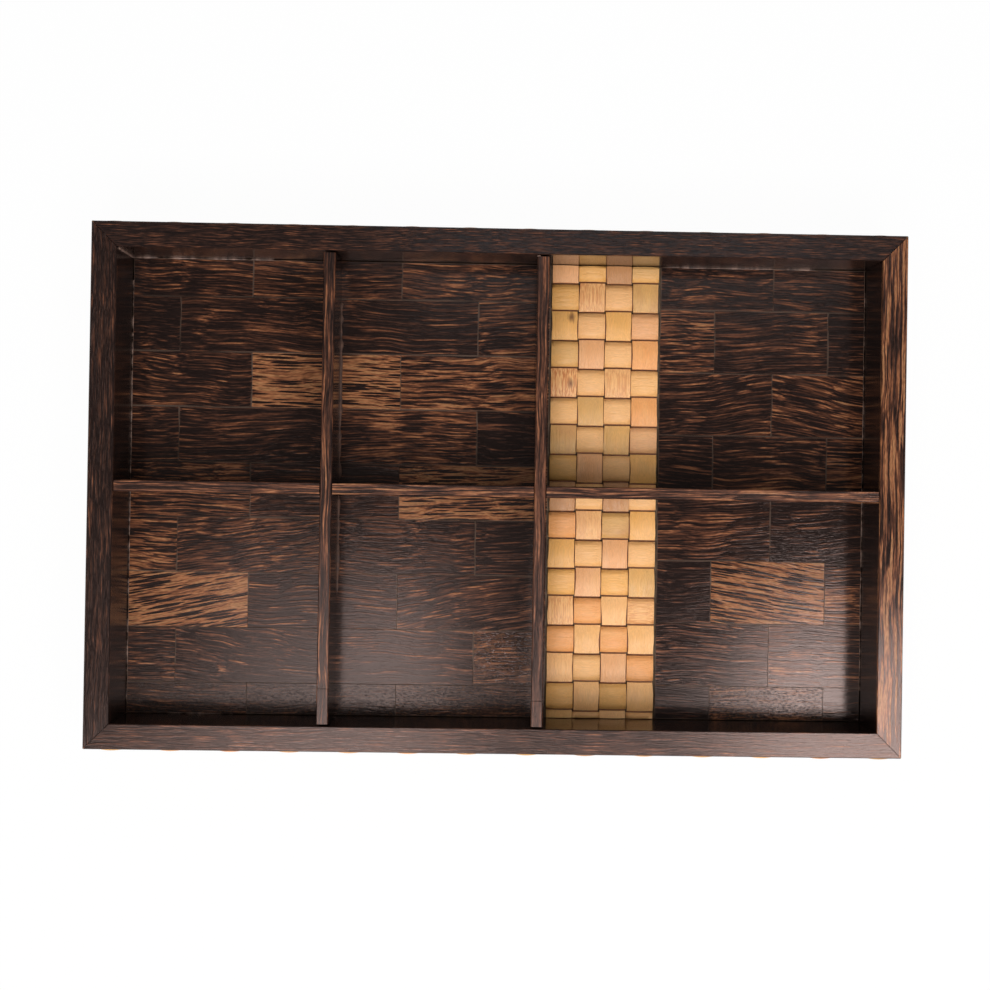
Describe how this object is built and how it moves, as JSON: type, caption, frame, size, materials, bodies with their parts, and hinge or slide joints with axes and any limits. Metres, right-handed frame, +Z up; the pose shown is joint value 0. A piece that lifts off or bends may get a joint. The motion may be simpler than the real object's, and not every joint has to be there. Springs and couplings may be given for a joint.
{
  "type": "bar tray",
  "caption": "Rectangular open bar tray in dark palm wood with six compartments, a woven band in the parquet floor and woven strips on the outer walls.",
  "frame": {"origin": "centre of the underside, on the surface that the tray stands on", "axes": "+X along the long side towards the wide column, +Y towards the back wall, +Z up"},
  "size_m": [0.4222, 0.2722, 0.0561],
  "materials": {
    "plain_board": "plain sanded board",
    "palm_wall": "dark streaked palm wood under gloss lacquer",
    "palm_rim": "dark streaked palm wood under satin lacquer",
    "palm_parquet": "dark palm-wood tiles of mixed tone under gloss lacquer",
    "palm_divider": "dark streaked palm wood under gloss lacquer",
    "palm_edging": "red-brown streaked palm wood under satin lacquer",
    "palm_strip": "golden split palm strips under satin lacquer"
  },
  "bodies": {
    "root": {"bottom_board": "plain_board", "back_wall": "palm_wall", "right_wall": "palm_wall", "front_wall": "palm_wall", "left_wall": "palm_wall", "back_woven_panel": "palm_strip", "right_woven_panel": "palm_strip", "front_woven_panel": "palm_strip", "left_woven_panel": "palm_strip", "back_base_lath": "palm_rim", "right_base_lath": "palm_rim", "front_base_lath": "palm_rim", "left_base_lath": "palm_rim", "back_rim_cap": "palm_rim", "right_rim_cap": "palm_rim", "front_rim_cap": "palm_rim", "left_rim_cap": "palm_rim", "left_parquet": "palm_parquet", "right_parquet": "palm_parquet", "band_long_strip_1": "palm_strip", "band_long_strip_2": "palm_strip", "band_long_strip_3": "palm_strip", "band_long_strip_4": "palm_strip", "band_cross_strip_01": "palm_strip", "band_cross_strip_02": "palm_strip", "band_cross_strip_03": "palm_strip", "band_cross_strip_04": "palm_strip", "band_cross_strip_05": "palm_strip", "band_cross_strip_06": "palm_strip", "band_cross_strip_07": "palm_strip", "band_cross_strip_08": "palm_strip", "band_cross_strip_09": "palm_strip", "band_cross_strip_10": "palm_strip", "band_cross_strip_11": "palm_strip", "band_cross_strip_12": "palm_strip", "band_cross_strip_13": "palm_strip", "band_cross_strip_14": "palm_strip", "band_cross_strip_15": "palm_strip", "band_cross_strip_16": "palm_strip", "band_cross_strip_17": "palm_strip", "long_divider": "palm_divider", "left_cross_divider": "palm_divider", "right_cross_divider": "palm_divider", "long_divider_left_edging": "palm_edging", "long_divider_middle_edging": "palm_edging", "long_divider_right_edging": "palm_edging", "left_cross_divider_long_edging": "palm_edging", "left_cross_divider_short_edging": "palm_edging", "right_cross_divider_long_edging": "palm_edging", "right_cross_divider_short_edging": "palm_edging"}
  },
  "joints": []
}
